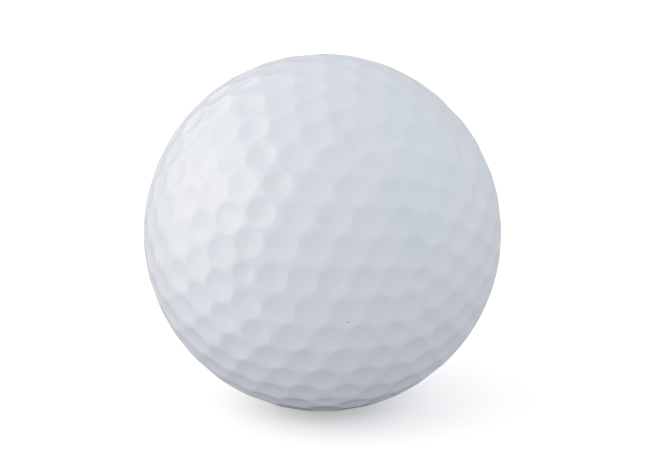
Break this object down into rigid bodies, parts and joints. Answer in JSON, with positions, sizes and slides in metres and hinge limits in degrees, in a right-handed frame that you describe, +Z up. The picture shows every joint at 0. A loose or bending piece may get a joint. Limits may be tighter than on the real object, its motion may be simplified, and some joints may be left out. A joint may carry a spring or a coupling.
{
  "type": "golf ball",
  "caption": "Dimpled golf ball with a layered inside: a core in two stages, a mantle and a cover, moulded as half shells that meet at a seam.",
  "frame": {"origin": "the ball's centre", "axes": "+Z up; the poles of the dimple pattern lie on the Y axis, the front pole towards -Y, and the seam is the plane y = 0"},
  "size_m": [0.0426, 0.0426, 0.0426],
  "materials": {
    "inner_core": "matt moulded rubber, soft",
    "outer_core": "matt moulded rubber, firm",
    "mantle": "satin moulded ionomer resin",
    "cover": "white paint under a satin clear coat"
  },
  "bodies": {
    "root": {"inner_core": "inner_core", "outer_core_front": "outer_core", "outer_core_back": "outer_core", "mantle_front": "mantle", "mantle_back": "mantle", "cover_front": "cover", "cover_back": "cover"}
  },
  "joints": []
}
